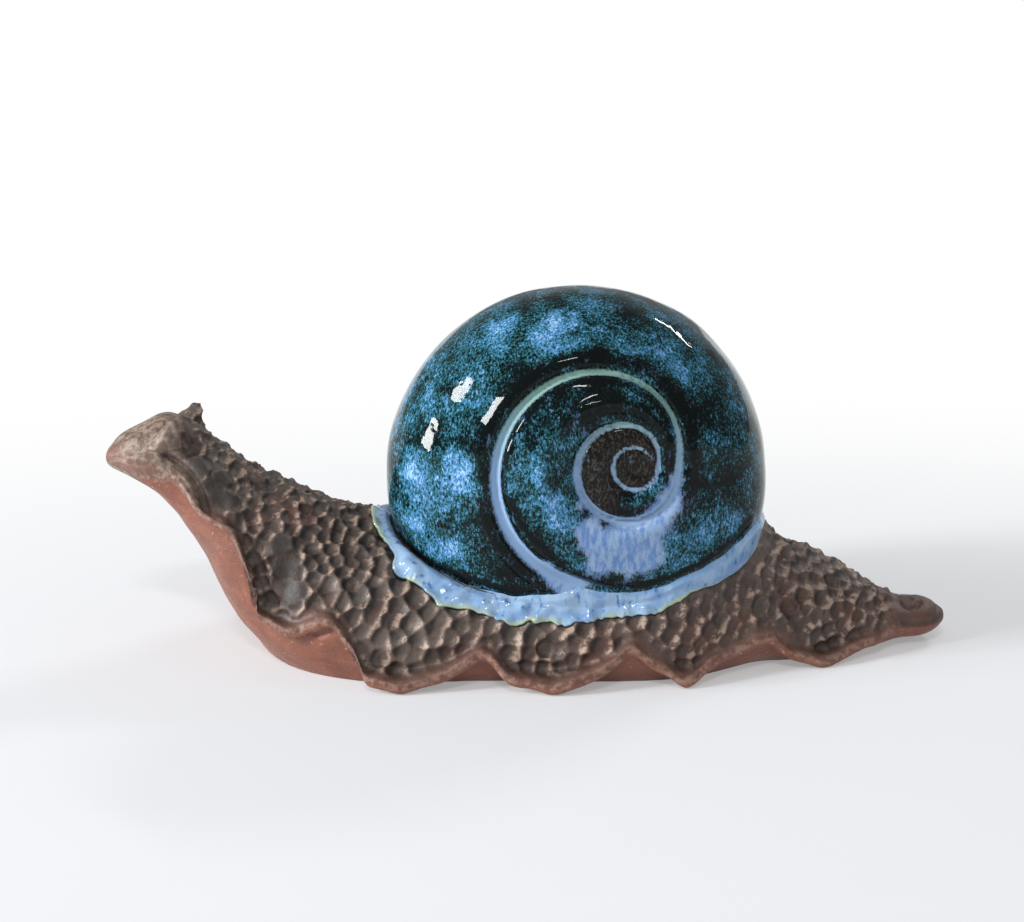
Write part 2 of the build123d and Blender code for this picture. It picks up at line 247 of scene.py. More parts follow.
# Strokes of the fingers and tools on the clay in the photograph: radius in pixels, height in millimetres and
# the line. The height is below zero where the clay is pressed in
clay_stroke_px = [
    (3.5, 0.9, [(177, 424), (179, 434), (181, 447)]),
    (6.0, -1.3, [(188, 431), (190, 441), (189, 451)]),
    (3, 0.5, [(185, 421), (193, 428), (199, 438), (207, 451)]),
    (
        4, 0.8,
        [(129, 458), (142, 459), (154, 461), (166, 465), (178, 470), (187, 480), (193, 490), (197, 502)],
    ),
    (4, -1.0, [(166, 455), (176, 461), (184, 468), (192, 476), (198, 488), (203, 501), (208, 512)]),
    (3.5, -0.7, [(208, 512), (220, 521), (237, 527), (250, 544), (258, 563), (265, 590), (275, 614)]),
    (2.5, -0.35, [(108, 460), (118, 458), (127, 460), (140, 464)]),
    (12, -1.2, [(286, 562), (286, 580), (279, 600)]),
    (9, -0.8, [(213, 487), (223, 502)]),
    (2.2, -0.6, [(899, 601), (902, 606), (909, 609), (916, 607), (920, 602)]),
    (2.2, 0.35, [(901, 598), (908, 597), (915, 599)]),
    (2.2, -0.5, [(934, 598), (937, 605), (937, 613), (933, 622)]),
    (4.5, 0.9, [(887, 596), (889, 597)]),
    (3.6, 0.9, [(888, 616), (888, 618)]),
    (4, -0.7, [(903, 622), (915, 624), (928, 622)]),
    (5, -0.7, [(300, 630), (318, 634), (336, 630), (350, 640)]),
]
# Strokes that start left of this are on the head, and only on the side that shows
head_end_px = 206
# Places on the clay: centre, radius and strength
smooth_patch_px = [
    (289, 592, 19, 1), (286, 566, 17, 1), (281, 545, 13, 1), (196, 468, 15, 1), (211, 492, 15, 1),
    (225, 500, 13, 1), (222, 478, 11, 1), (912, 608, 22, 1),
]
red_clay_px = [
    (298, 515, 18, 1.0), (282, 500, 12, 0.8), (222, 525, 9, 0.9), (238, 536, 9, 0.9), (311, 618, 12, 1.0),
    (330, 599, 8, 0.6), (378, 613, 10, 0.7), (262, 520, 12, 0.8), (340, 545, 9, 0.6), (256, 470, 10, 0.5),
    (600, 655, 26, 0.9), (455, 655, 16, 0.8), (530, 655, 12, 0.6), (700, 640, 24, 0.8), (790, 600, 16, 0.6),
    (850, 612, 22, 0.8), (480, 640, 12, 0.5), (640, 640, 14, 0.5), (890, 608, 22, 1.0), (925, 610, 22, 1.0),
    (800, 590, 22, 0.6), (740, 622, 16, 0.7),
]
light_clay_px = [
    (390, 575, 26, 1.0), (372, 645, 24, 0.9), (345, 590, 14, 0.7), (430, 625, 18, 0.7), (405, 660, 14, 0.8),
    (540, 640, 20, 0.6), (650, 625, 12, 0.5), (770, 570, 16, 0.4), (268, 495, 12, 0.5), (340, 520, 10, 0.4),
]
snout_px = [(109, 453, 9, 1), (118, 459, 10, 1), (132, 467, 10, 1), (146, 470, 10, 1)]


def smooth(low, high, value):
    """0 below low, 1 above high, and an eased slope between them, or the other way round if low is higher."""
    part = np.clip((value - low) / (high - low), 0, 1)
    return part * part * (3 - 2 * part)


def bell(distance, width):
    """1 at no distance, falling off within a width."""
    return np.exp(-((distance / width) ** 2))


def wobble(points, size, seed, waves=14):
    """A smooth random value from about -1 to 1 at each point, with bumps of about one size."""
    draw = np.random.default_rng(seed)
    directions = draw.normal(size=(waves, 3))
    directions /= np.linalg.norm(directions, axis=1)[:, None]
    lengths = size * draw.uniform(0.7, 1.6, waves)
    phases = draw.uniform(0, 2 * np.pi, waves)
    turns = points @ (directions / lengths[:, None]).T * 2 * np.pi + phases
    return np.cos(turns).sum(axis=1) / math.sqrt(waves)


def uneven_by_hand(points, waves):
    """How far a hand-made surface stands above or below its even form at each point."""
    return sum(wobble(points, size * MM, seed) * height * MM for size, height, seed in waves)


def real_size(pixels):
    """The length on the snail of a number of the photograph's pixels."""
    return pixels / px_per_mm * MM


def softening(spread):
    """Shifts to both sides of a point and their weights, for softening a line of points."""
    shifts = np.arange(-2 * spread, 2 * spread + 1)
    return shifts, bell(shifts, spread)


def lengths_along(path):
    """Distance of each point of a path from its start, along the path."""
    return np.concatenate(([0], np.cumsum(np.linalg.norm(np.diff(path, axis=0), axis=1))))


def points_at(path, lengths, spots):
    """Points of a path at some distances along it."""
    return np.column_stack([np.interp(spots, lengths, path[:, axis]) for axis in range(3)])


def deselect():
    bpy.ops.object.select_all(action="DESELECT")


def make_active(piece):
    deselect()
    piece.select_set(True)
    bpy.context.view_layer.objects.active = piece


def points_of(mesh):
    flat = np.empty(len(mesh.vertices) * 3)
    mesh.vertices.foreach_get("co", flat)
    return flat.reshape(-1, 3)


def normals_of(mesh):
    flat = np.empty(len(mesh.vertices) * 3)
    mesh.vertex_normals.foreach_get("vector", flat)
    return flat.reshape(-1, 3)


def set_points(mesh, points):
    mesh.vertices.foreach_set("co", points.ravel())
    mesh.update()


def set_value(mesh, name, values):
    """A number on each point of the mesh, which its material reads by name."""
    layer = mesh.attributes.get(name) or mesh.attributes.new(name, "FLOAT", "POINT")
    layer.data.foreach_set("value", np.asarray(values, dtype=np.float32))


def joined_copy(nodes, name):
    """One new piece with the shapes of some of the frame's pieces."""
    copies = []
    for node in nodes:
        copy = bpy.data.objects.new(name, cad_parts[node].data.copy())
        bpy.context.collection.objects.link(copy)
        copies.append(copy)
    deselect()
    for copy in copies:
        copy.select_set(True)
    bpy.context.view_layer.objects.active = copies[0]
    bpy.ops.object.join()
    piece = bpy.context.view_layer.objects.active
    piece.name = name
    piece.data.materials.clear()
    bpy.ops.object.mode_set(mode="EDIT")
    bpy.ops.mesh.select_all(action="SELECT")
    bpy.ops.mesh.remove_doubles(threshold=0.005 * MM)
    bpy.ops.object.mode_set(mode="OBJECT")
    return piece


def apply_modifier(piece, kind, **settings):
    make_active(piece)
    bpy.ops.object.modifier_add(type=kind)
    modifier = piece.modifiers[-1]
    for key, value in settings.items():
        setattr(modifier, key, value)
    bpy.ops.object.modifier_apply(modifier=modifier.name)


def finish_piece(piece, material, replaced):
    """Shades a piece, gives it its material and puts it in the frame."""
    make_active(piece)
    bpy.ops.object.shade_smooth()
    piece.data.materials.clear()
    piece.data.materials.append(material)
    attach(piece, "root")
    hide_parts(*replaced)
    deselect()


def camera_axes():
    """The camera's place and its forward, right and up directions."""
    back = Vector((0, -math.cos(camera_height_angle), math.sin(camera_height_angle)))
    place = Vector((0, 0, aim_height)) + back * camera_distance
    up = Vector((0, math.sin(camera_height_angle), math.cos(camera_height_angle)))
    return place, -back, Vector((1, 0, 0)), up


def aim_px():
    """Where the camera's axis passes through the image."""
    drop = aim_height / MM * math.cos(camera_height_angle) * px_per_mm
    return middle_px[0], middle_px[1] - drop


def seen(tree, px, py):
    """The point of a surface that shows at a place of the photograph."""
    place, forward, right, up = camera_axes()
    centre = aim_px()
    reach = px_per_mm / MM * camera_distance
    ray = forward * reach + right * (px - centre[0]) - up * (py - centre[1])
    return tree.ray_cast(place, ray.normalized())[0]


def tree_of(piece):
    """For finding where a ray meets a piece."""
    mesh = piece.data
    return BVHTree.FromPolygons([v.co for v in mesh.vertices], [p.vertices[:] for p in mesh.polygons])


def shell_depth_share(depth):
    """How wide the shell is at a depth, from 1 in its middle plane to 0 at its two sides."""
    return (1 - np.clip(np.abs(depth), 0, 1) ** shell_roundness) ** (1 / shell_roundness)


def inside_shell(x, y, z):
    """Negative inside the shell's smooth form, positive outside it."""
    depth = np.abs(y) / shell_half_width
    shift = shell_face_shift * depth**2
    across = np.hypot((x - shell_x - shift) / shell_half_length, (z - shell_z) / shell_half_height)
    return np.maximum(across - shell_depth_share(depth), depth - 1)


def groove_radius(angle):
    """Distance of the spiral's groove from its middle, at an angle in degrees that counts its turns."""
    turns = (180 - angle) / 360
    squeeze = 1 + spiral_eccentricity * np.cos(np.radians(angle - spiral_lean))
    return spiral_radius * spiral_ratio**-turns * squeeze


def spiral_place(x, z):
    """Where a point of a face lies in the spiral: its angle, and how far the outer and inner grooves are."""
    radius = np.hypot(x - spiral_x, z - spiral_z)
    angle = np.degrees(np.arctan2(z - spiral_z, x - spiral_x))
    turns = np.ceil(np.log(np.maximum(radius, 0.05 * MM) / groove_radius(angle)) / math.log(spiral_ratio))
    angle = angle + 360 * turns
    return angle, groove_radius(angle) - radius, radius - groove_radius(angle - 360)


def add_node(tree, kind, inputs, **settings):
    """A new node, with plain settings, and inputs that are either numbers or other nodes' outputs."""
    node = tree.nodes.new(kind)
    for key, value in settings.items():
        setattr(node, key, value)
    for key, value in inputs.items():
        if isinstance(value, bpy.types.NodeSocket):
            tree.links.new(value, node.inputs[key])
        else:
            node.inputs[key].default_value = value
    return node


def new_material(name, shader):
    """A material, its node tree and its shader, with the shader's even values set."""
    material = bpy.data.materials.new(name)
    material.use_nodes = True
    tree = material.node_tree
    tree.nodes.clear()
    surface = add_node(tree, "ShaderNodeBsdfPrincipled", shader)
    add_node(tree, "ShaderNodeOutputMaterial", {"Surface": surface.outputs[0]})
    return material, tree, surface


def value_of(tree, name):
    """The value that a piece has at each point, by its name."""
    return add_node(tree, "ShaderNodeAttribute", {}, attribute_name=name).outputs["Fac"]


def placed(tree, stretch=(1, 1, 1)):
    """Places on the piece. Along an axis whose share is below 1, a pattern is drawn out."""
    place = add_node(tree, "ShaderNodeTexCoord", {}).outputs["Object"]
    return add_node(tree, "ShaderNodeMapping", {"Vector": place, "Scale": stretch}).outputs[0]


def grain(tree, place, size, detail=3.0, roughness=0.55, distortion=0.0):
    """Noise whose patches are about one size."""
    inputs = {"Vector": place, "Scale": 1 / size, "Detail": detail, "Roughness": roughness}
    inputs["Distortion"] = distortion
    return add_node(tree, "ShaderNodeTexNoise", inputs).outputs["Fac"]


def sums(tree, kind, first, second, third=0.0):
    """A calculation with numbers or other nodes' outputs."""
    return add_node(tree, "ShaderNodeMath", {0: first, 1: second, 2: third}, operation=kind).outputs[0]


def share_of(tree, name, share):
    """A share of the value that a piece has at each point, by its name."""
    return sums(tree, "MULTIPLY", value_of(tree, name), share)


def stirred(tree, value, noise, amount):
    """A value moved up or down by noise, by at most half of an amount."""
    return sums(tree, "MULTIPLY_ADD", noise, amount, sums(tree, "ADD", value, -amount / 2))


def step(tree, value, low, high):
    """0 below low and 1 above high, or the other way round if low is higher."""
    inputs = {"Value": value, "From Min": low, "From Max": high}
    return add_node(tree, "ShaderNodeMapRange", inputs, interpolation_type="SMOOTHSTEP").outputs[0]


def blend(tree, factor, first, second):
    """A colour between two, by a factor."""
    node = add_node(tree, "ShaderNodeMix", {"Factor": factor}, data_type="RGBA")
    for socket, value in ((node.inputs[6], first), (node.inputs[7], second)):
        if isinstance(value, bpy.types.NodeSocket):
            tree.links.new(value, socket)
        else:
            socket.default_value = (*value, 1)
    return node.outputs[2]


def ramp(tree, value, stops):
    """A colour that changes with a value through several stops."""
    node = add_node(tree, "ShaderNodeValToRGB", {"Fac": value})
    elements = node.color_ramp.elements
    while len(elements) < len(stops):
        elements.new(0.5)
    for element, (place, colour) in zip(elements, stops):
        element.position = place
        element.color = (*colour, 1)
    return node.outputs["Color"]


def bump(tree, surface, height, distance, strength=1.0):
    """Fine relief on a shader, from a height and the distance that a height of 1 stands for."""
    node = add_node(tree, "ShaderNodeBump", {"Height": height, "Distance": distance, "Strength": strength})
    tree.links.new(node.outputs[0], surface.inputs["Normal"])


class SnailClay(bpy.types.PropertyGroup):
    skin: FloatProperty(
        name="Skin", description="Size of the faces of the clay's skin", default=0.43 * MM, unit="LENGTH"
    )
    scoop_spacing: FloatProperty(
        name="Scoop spacing", description="Least distance between presses", default=2.9 * MM, unit="LENGTH"
    )
    scoop_depth: FloatProperty(
        name="Scoop depth", description="Height of a press's wall, one radius from its middle",
        default=1.9 * MM, unit="LENGTH",
    )
    most_triangles: IntProperty(
        name="Triangles", description="Most triangles of the pressed back", default=185000
    )
    foot_colour: FloatVectorProperty(
        name="Foot", description="Bare red clay", subtype="COLOR", size=3, default=(0.215, 0.078, 0.048)
    )
    press_colour: FloatVectorProperty(
        name="Presses", description="Greyed clay of the presses", subtype="COLOR", size=3,
        default=(0.076, 0.054, 0.044),
    )
    ridge_colour: FloatVectorProperty(
        name="Ridges", description="Redder clay between the presses", subtype="COLOR", size=3,
        default=(0.13, 0.052, 0.038),
    )
    # Painted highlight: pale colour for the presses' walls that face the window light
    painted_highlight_colour: FloatVectorProperty(
        name="Worn", description="Clay wiped clean on walls towards the head", subtype="COLOR", size=3,
        default=(0.42, 0.30, 0.23),
    )
    # Dark oxide in presses and smooth places, also painted shade on the presses' walls facing away from the
    # light
    wash_and_shade_colour: FloatVectorProperty(
        name="Wash", description="Dark oxide left in presses and smooth places", subtype="COLOR", size=3,
        default=(0.022, 0.018, 0.015),
    )


class SnailGlaze(bpy.types.PropertyGroup):
    shell_cuts: IntProperty(name="Shell cuts", description="Cuts across the blank of the shell", default=113)
    groove_depth: FloatProperty(
        name="Groove depth", description="Depth of the widest groove", default=1.7 * MM, unit="LENGTH"
    )
    collar_thickness: FloatProperty(
        name="Collar thickness", description="Thickness of the pooled glaze", default=0.85 * MM, unit="LENGTH"
    )
    thin_colour: FloatVectorProperty(
        name="Thin", description="Where the glaze is thin", subtype="COLOR", size=3,
        default=(0.002, 0.004, 0.004),
    )
    teal_colour: FloatVectorProperty(
        name="Teal", description="Greener flecks", subtype="COLOR", size=3, default=(0.020, 0.115, 0.130)
    )
    blue_colour: FloatVectorProperty(
        name="Blue", description="Bluer flecks", subtype="COLOR", size=3, default=(0.085, 0.27, 0.56)
    )
    pool_colour: FloatVectorProperty(
        name="Pool", description="Pale pool in the coil", subtype="COLOR", size=3, default=(0.32, 0.46, 0.68)
    )
    fringe_colour: FloatVectorProperty(
        name="Fringe", description="Edge of the pooled glaze", subtype="COLOR", size=3,
        default=(0.42, 0.53, 0.36),
    )


class SnailStage(bpy.types.PropertyGroup):
    floor_colour: FloatVectorProperty(
        name="Floor", description="Pale floor", subtype="COLOR", size=3, default=(0.84, 0.86, 0.90)
    )
    floor_glow: FloatProperty(
        name="Glow", description="Share of plain white in what is seen of the floor nearby", default=0.28
    )
    window_strength: FloatProperty(
        name="Window", description="Power of the window for its area", default=165.0
    )
    upper_strength: FloatProperty(
        name="Upper lights", description="Power of the strips for their area", default=200.0
    )
    sky_strength: FloatProperty(
        name="Room", description="Strength of the light from all round", default=0.36
    )


def clay_skin(settings):
    """The outer skin of all the clay pieces, luted into one, without the hollow inside."""
    body = joined_copy(clay_nodes, "clay_skin")
    for low, high in vent_plugs:
        bpy.ops.mesh.primitive_cylinder_add(
            vertices=24, radius=plug_radius, depth=high - low, location=(shell_x, 0, (low + high) / 2)
        )
        body.select_set(True)
        bpy.context.view_layer.objects.active = body
        bpy.ops.object.join()
    apply_modifier(body, "REMESH", mode="VOXEL", voxel_size=settings.skin, adaptivity=0.0)
    make_active(body)
    bpy.ops.mesh.separate(type="LOOSE")
    shells = sorted(bpy.context.selected_objects, key=lambda part: len(part.data.vertices))
    for inner in shells[:-1]:
        bpy.data.objects.remove(inner)
    apply_modifier(shells[-1], "SMOOTH", factor=0.5, iterations=6)
    return shells[-1]


def seam_cutter():
    """A block below the ruffles' edges, which parts the smooth foot from the rest of the clay."""
    stations = np.linspace(foot_front_x, foot_back_x, seam_stations)
    sides = []
    for side in (-1, 1):
        along, reach, height, steepness = lip_line(side)
        for place in (reach + seam_drop * 4, reach - seam_drop):
            lowered = np.interp(stations, along, height - seam_drop * steepness)
            sides.append((side * np.interp(stations, along, place), lowered))
    order = (sides[0], sides[1], sides[3], sides[2])
    rows = []
    for number, station in enumerate(stations):
        top = [(station, y[number], max(z[number], seam_drop / 4)) for y, z in order]
        rows.append(top + [(station, top[-1][1], -seam_drop), (station, top[0][1], -seam_drop)])
    count = len(rows[0])
    faces = [tuple(range(count)), tuple(range(len(rows) * count - 1, (len(rows) - 1) * count - 1, -1))]
    for i in range(len(rows) - 1):
        for k in range(count):
            m = (k + 1) % count
            faces.append((i * count + k, i * count + m, (i + 1) * count + m, (i + 1) * count + k))
    mesh = bpy.data.meshes.new("seam_cutter")
    mesh.from_pydata([point for row in rows for point in row], [], faces)
    cutter = bpy.data.objects.new("seam_cutter", mesh)
    bpy.context.collection.objects.link(cutter)
    make_active(cutter)
    bpy.ops.object.mode_set(mode="EDIT")
    bpy.ops.mesh.select_all(action="SELECT")
    bpy.ops.mesh.quads_convert_to_tris()
    bpy.ops.mesh.normals_make_consistent(inside=False)
    bpy.ops.object.mode_set(mode="OBJECT")
    return cutter


def part_at_seam(body):
    """The foot and the rest of the clay, as two closed pieces that meet under the ruffles."""
    cutter = seam_cutter()
    foot = bpy.data.objects.new("clay_foot", body.data.copy())
    bpy.context.collection.objects.link(foot)
    for piece, operation in ((foot, "INTERSECT"), (body, "DIFFERENCE")):
        apply_modifier(piece, "BOOLEAN", operation=operation, object=cutter, solver="MANIFOLD")
        make_active(piece)
        bpy.ops.object.mode_set(mode="EDIT")
        bpy.ops.mesh.select_mode(type="EDGE")
        bpy.ops.mesh.select_all(action="DESELECT")
        bpy.ops.mesh.edges_select_sharp(sharpness=seam_angle)
        bpy.ops.mesh.mark_sharp()
        bpy.ops.object.mode_set(mode="OBJECT")
    bpy.data.objects.remove(cutter)
    body.name = "clay_back"
    return foot, body


def lip_line(side):
    """The ruffle's outer edge along one side: place along the snail, reach, height and steepness.

    Steepness is the edge's own length for each step along the snail.
    """
    points = points_of(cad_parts["frill_left" if side < 0 else "frill_right"].data)
    along, reach, height = [], [], []
    spacing = 1.5 * MM
    for place in np.arange(points[:, 0].min(), points[:, 0].max(), spacing):
        near = points[np.abs(points[:, 0] - place) < spacing]
        if len(near) == 0:
            continue
        outer = np.abs(near[:, 1]).max()
        edge = near[np.abs(near[:, 1]) > outer - 0.12 * MM]
        along.append(place)
        reach.append(outer)
        height.append((edge[:, 2].min() + edge[:, 2].max()) / 2)
    slope = np.gradient(np.array(height), np.array(along))
    return np.array(along), np.array(reach), np.array(height), np.sqrt(1 + slope**2)


def above_lip(points):
    """How far each point lies above (or, if negative, below) the ruffle's edge on its own side."""
    result = np.empty(len(points))
    for side in (-1, 1):
        own = points[:, 1] * side >= 0
        along, reach, height, steepness = lip_line(side)
        x, y, z = points[own].T
        out = np.interp(x, along, reach) - np.abs(y)
        up = (z - np.interp(x, along, height)) / np.interp(x, along, steepness)
        result[own] = np.sign(up) * np.hypot(up, np.maximum(out, 0))
    return result


def vertex_tree(points):
    tree = kdtree.KDTree(len(points))
    for number, point in enumerate(points):
        tree.insert(point, number)
    tree.balance()
    return tree


def near_points(tree, place, reach):
    return np.array([hit[1] for hit in tree.find_range(place, reach)], dtype=int)


def scoop_field(points, mask, spacing, settings):
    """Overlapping presses of a round tool, as a height and a tint for each point.

    Between the two it gives how much higher the next press lies there, which is nothing on a ridge.
    """
    draw = np.random.default_rng(press_seed)
    tree = vertex_tree(points)
    free = mask > 0
    seeds = []
    for index in draw.permutation(np.flatnonzero(free)):
        if free[index]:
            seeds.append(index)
            free[near_points(tree, points[index], spacing[index])] = False
    height = np.full(len(points), 3 * settings.scoop_depth)
    second = height + 1 * MM
    tints = np.zeros(len(points))
    # Larger presses are drawn out along this direction
    upright = np.array((0.25, 0, 0.97))
    for seed in seeds:
        size = spacing[seed]
        near = near_points(tree, points[seed], 1.75 * size)
        away = (points[near] - points[seed]) / size
        stretch = draw.uniform(0, 0.5) * smooth(3.0 * MM, 3.8 * MM, size)
        distance = np.sqrt(np.maximum((away**2).sum(axis=1) - stretch * (away @ upright) ** 2, 0))
        lean = draw.normal(0, 0.16, 3) + np.array((0.10, 0.0, -0.05))
        deep = settings.scoop_depth * draw.uniform(0.75, 1.15)
        own = deep * (distance**2.5 + (away @ lean)) + draw.normal(0, 0.15 * MM)
        better = own < height[near]
        second[near] = np.where(better, height[near], np.minimum(second[near], own))
        height[near] = np.where(better, own, height[near])
        tints[near] = np.where(better, draw.uniform(0, 1), tints[near])
    return height, second - height, tints


def stroke_distance(points, line, tree, side):
    """Distance of each point from a stroke in the photograph, or from the same stroke on the far side."""
    places = [np.array(place) for place in (seen(tree, px, py) for px, py in line) if place is not None]
    nearest = np.full(len(points), 1.0)
    for first, last in zip(places, places[1:]):
        first, last = first * (1, -side, 1), last * (1, -side, 1)
        along = last - first
        part = np.clip((points - first) @ along / (along @ along), 0, 1)
        nearest = np.minimum(nearest, np.linalg.norm(points - first - part[:, None] * along, axis=1))
    return nearest


def stroked(points):
    """How high the skin is raised or pressed at each point by the strokes in the photograph."""
    total = np.zeros(len(points))
    tree = BVHTree.FromPolygons(*seen_faces())
    for radius, height, line in clay_stroke_px:
        for side in (-1,) if line[0][0] < head_end_px else (-1, 1):
            own = smooth(-2 * MM, 2 * MM, points[:, 1] * side)
            distance = stroke_distance(points, line, tree, side)
            total += bell(distance, real_size(radius)) * height * MM * own
    from_horn = np.linalg.norm(points - horn_middle("horn_left"), axis=1)
    return total * smooth(0.5 * MM, 3.5 * MM, from_horn)


def horn_middle(name):
    """The middle of a horn's box."""
    low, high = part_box(name)
    return np.array((low + high) / 2)


def seen_faces():
    """Points and faces of all the clay pieces in the frame, for finding what the photograph shows."""
    corners, faces = [], []
    for node in clay_nodes:
        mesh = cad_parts[node].data
        first = len(corners)
        corners += [vertex.co for vertex in mesh.vertices]
        faces += [[first + corner for corner in face.vertices] for face in mesh.polygons]
    return corners, faces


def marked(points, marks):
    """How strongly each point is marked, by places in the photograph and the same places on the far side."""
    total = np.zeros(len(points))
    tree = BVHTree.FromPolygons(*seen_faces())
    for px, py, radius, strength in marks:
        place = seen(tree, px, py)
        if place is None:
            continue
        for side in (-1, 1):
            centre = np.array((place.x, side * abs(place.y), place.z))
            near = bell(np.linalg.norm(points - centre, axis=1), real_size(radius))
            total = np.maximum(total, strength * near)
    return total


class SNAIL_OT_clay(bpy.types.Operator):
    """Model the foot, the back, the head, the ruffles and the tail as one skin, parted at the seam"""

    bl_idname = "snail.clay"
    bl_label = "Clay body"

    def execute(self, context):
        settings = context.scene.snail_clay
        body = clay_skin(settings)
        points, normals = points_of(body.data), normals_of(body.data)
        above_table = smooth(0, 3 * MM, points[:, 2])
        lift = (uneven_by_hand(points, clay_waves) + stroked(points)) * above_table
        points = points + normals * lift[:, None]
        brow = horn_middle("horn_right") + brow_offset
        points[:, 2] += brow_height * bell(np.linalg.norm(points - brow, axis=1), brow_width)
        near_shell = smooth(0.32, 0.04, inside_shell(*points.T))
        behind = smooth(*behind_shell_from, points[:, 0]) * smooth(*behind_shell_to, points[:, 0])
        points[:, 2] += behind_shell_height * near_shell * behind * smooth(12 * MM, 18 * MM, points[:, 2])
        set_points(body.data, np.clip(points, cad_low, cad_high))
        foot, back = part_at_seam(body)
        self.finish_foot(foot, settings)
        self.press_back(back, settings)
        return {"FINISHED"}

    def finish_foot(self, foot, settings):
        """Marks the edge of the foot under the ruffles."""
        mesh = foot.data
        set_value(mesh, "lip", bell(above_lip(points_of(mesh)), lip_width))
        finish_piece(foot, clay_material("smooth_foot", settings, False), ("foot_slab",))

    def press_back(self, back, settings):
        """Presses the back, marks smooth and red clay, and paints highlight and shade on press walls."""
        mesh = back.data
        points, normals = points_of(mesh), normals_of(mesh)
        lip = above_lip(points)
        x, y, z = points.T
        tail_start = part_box("tail_tip")[0].x
        head_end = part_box("head")[1].x
        behind_head = smooth(head_end + 1 * MM, head_end + 12 * MM, x + 0.35 * (z - z.mean()))
        worked = smooth(*pressed_above_lip, lip) * behind_head
        worked *= smooth(tail_start + 3 * MM, tail_start - 4 * MM, x)
        patch = marked(points, smooth_patch_px)
        smoothed = smooth(0.3, 0.8, patch)
        stroke = stroked(points)
        worked *= 1 - 0.85 * smooth(0.25, 0.7, patch)
        from_shell = inside_shell(x, y, z)
        worked *= 1 - 0.6 * smooth(0.12, 0.03, from_shell)
        scooped = np.where(from_shell < -0.1, 0, worked)
        larger = smooth(*larger_below, z) * smooth(*larger_from, x) * smooth(*larger_to, x)
        spacing = settings.scoop_spacing * (1 + 0.16 * larger)
        height, rim, tint = scoop_field(points, scooped, spacing, settings)
        height = np.minimum(height, ridge_top)
        lift = (height - press_sink) * scooped
        # Inside the shell the skin lies lower, so that it stays out of sight
        lift -= 1.0 * MM * smooth(0.03, -0.01, from_shell)
        moved = points + normals * lift[:, None]
        set_points(mesh, np.clip(moved, cad_low, cad_high))
        # Painted highlight and shade: how far each wall turns towards the window light, up on the left
        facing_light = (normals_of(mesh) - normals) @ (-0.85, 0, 0.5)
        red_band = bell(lip, red_band_width)
        on_neck = smooth(head_end - 14 * MM, head_end - 2 * MM, x) * (x < 0)
        for name, values in {
            "painted_highlight": smooth(0.12, 0.42, facing_light) * scooped,
            "painted_shade": smooth(0.10, 0.45, -facing_light) * scooped * (1 - 0.6 * red_band),
            "pressed": smooth(0.1 * MM, 0.8 * MM, -stroke) * (1 - 0.8 * smoothed),
            "raised": smooth(0.1 * MM, 0.7 * MM, stroke),
            "red": np.maximum(marked(points, red_clay_px), 0.7 * red_band * (x > head_end)),
            "light": marked(points, light_clay_px),
            "snout": marked(points, snout_px),
            "hollow": smooth(0.55 * MM, -0.1 * MM, height) * scooped,
            "ridge": smooth(0.34 * MM, 0.0, rim) * scooped,
            "tint": tint,
            "soot": smoothed * on_neck,
            "face": smooth(head_end + 1 * MM, head_end - 7 * MM, x + 0.3 * (z - 48 * MM)),
            "lip": bell(lip, lip_width),
            "foot": smooth(0.5 * MM, -1.0 * MM, lip),
        }.items():
            set_value(mesh, name, values)
        self.thin_out(back, settings)
        finish_piece(back, clay_material("pressed_back", settings, True), clay_nodes[1:])

    def thin_out(self, back, settings):
        """Fewer faces where the skin is even. The seam keeps its points, so that it still meets the foot."""
        mesh = back.data
        seam = {corner for edge in mesh.edges if edge.use_edge_sharp for corner in edge.vertices}
        free = back.vertex_groups.new(name="free")
        free.add([vertex.index for vertex in mesh.vertices if vertex.index not in seam], 1.0, "REPLACE")
        triangles = sum(len(face.vertices) - 2 for face in mesh.polygons)
        share = min(1, settings.most_triangles / triangles)
        apply_modifier(back, "DECIMATE", ratio=share, vertex_group=free.name)
        back.vertex_groups.clear()


